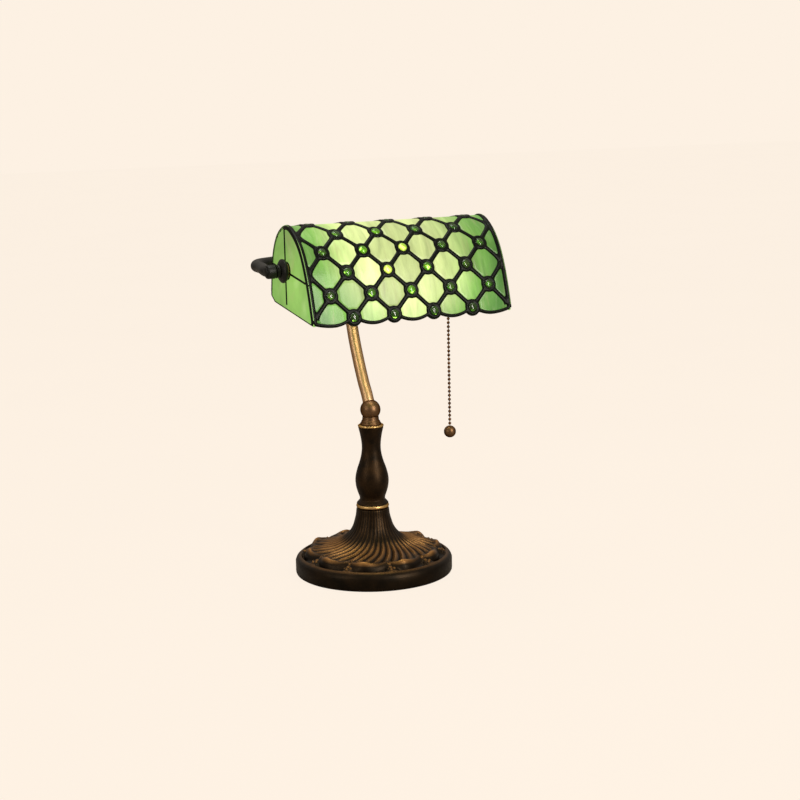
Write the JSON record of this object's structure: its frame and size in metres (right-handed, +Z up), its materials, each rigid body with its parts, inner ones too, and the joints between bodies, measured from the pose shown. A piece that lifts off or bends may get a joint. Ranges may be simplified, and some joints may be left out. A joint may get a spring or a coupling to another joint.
{
  "type": "banker desk lamp",
  "caption": "Banker desk lamp: leaded green glass shade with jewels tilting in a yoke, swan neck on a ball swivel, turned post, round cast base, pull chain.",
  "frame": {"origin": "middle of the base's underside, on the post's axis", "axes": "+Z up; X along the shade's length and its tilt axis; the lamp's front faces -Y"},
  "size_m": [0.2626, 0.1969, 0.3752],
  "materials": {
    "dark_bronze": "dark bronze finish, rubbed golden on the ridges",
    "bright_brass": "polished",
    "socket_brass": "satin",
    "antique_brass": "antique, satin gloss",
    "black_bronze": "blackened bronze, semi-gloss",
    "zinc_steel": "zinc plated",
    "green_felt": "felt",
    "black_phenolic": "moulded",
    "grey_fibre": "fibre paper",
    "bulb_glass": "frosted",
    "green_glass": "opalescent art glass, streaked",
    "black_solder": "black patina solder over copper foil"
  },
  "bodies": {
    "stand": {"base_casting": "dark_bronze", "felt_pad": "green_felt", "base_weight": "zinc_steel", "base_washer": "zinc_steel", "base_nut": "zinc_steel", "threaded_rod": "zinc_steel", "cord_bushing": "black_phenolic", "base_ring": "bright_brass", "post": "dark_bronze", "post_lip_ring": "bright_brass", "swivel_collar": "dark_bronze"},
    "head": {"swivel_ball": "dark_bronze", "neck_tube": "antique_brass", "yoke_hub": "black_bronze", "hub_finial": "black_bronze", "left_arm": "black_bronze", "right_arm": "black_bronze", "left_eye": "black_bronze", "left_spacer": "black_bronze", "left_escutcheon": "black_bronze", "left_pivot_nut": "zinc_steel", "left_pivot_screw": "black_bronze", "right_eye": "black_bronze", "right_spacer": "black_bronze", "right_escutcheon": "black_bronze", "right_pivot_nut": "zinc_steel", "right_nipple": "zinc_steel", "right_end_cap": "black_bronze", "socket_cap": "socket_brass", "socket_shell": "socket_brass", "socket_liner": "grey_fibre", "switch_body": "black_phenolic", "screw_shell": "socket_brass", "centre_contact": "socket_brass", "bulb_base": "socket_brass", "bulb_glass": "bulb_glass", "switch_bell": "socket_brass"},
    "shade": {"shade_glass": "green_glass", "shade_came": "black_solder", "left_end_came": "black_solder", "right_end_came": "black_solder", "left_eyelet": "socket_brass", "right_eyelet": "socket_brass", "left_pane_front_upper": "green_glass", "left_pane_front_lower": "green_glass", "left_pane_back_upper": "green_glass", "left_pane_back_lower": "green_glass", "right_pane_front_upper": "green_glass", "right_pane_front_lower": "green_glass", "right_pane_back_upper": "green_glass", "right_pane_back_lower": "green_glass"},
    "pull_switch": {"chain_coupling": "socket_brass"},
    "chain": {"pull_chain": "antique_brass", "chain_ball": "dark_bronze"}
  },
  "joints": [
    {"name": "neck_tilt", "type": "hinge", "parent": "stand", "child": "head", "pos_m": [0, 0, 0.1735], "axis": [1, 0, 0], "range_deg": [-15, 20]},
    {"name": "shade_tilt", "type": "hinge", "parent": "head", "child": "shade", "pos_m": [0, -0.047, 0.3303], "axis": [1, 0, 0], "range_deg": [-40, 35]},
    {"name": "switch_pull", "type": "slide", "parent": "head", "child": "pull_switch", "axis": [0, 0, -1], "range_m": [0, 0.008], "stiffness_N_per_m": 200, "springref_m": -0.005},
    {"name": "chain_swing", "type": "hinge", "parent": "pull_switch", "child": "chain", "pos_m": [0.0688, -0.047, 0.2967], "axis": [1, 0, 0], "range_deg": [-25, 25]}
  ]
}
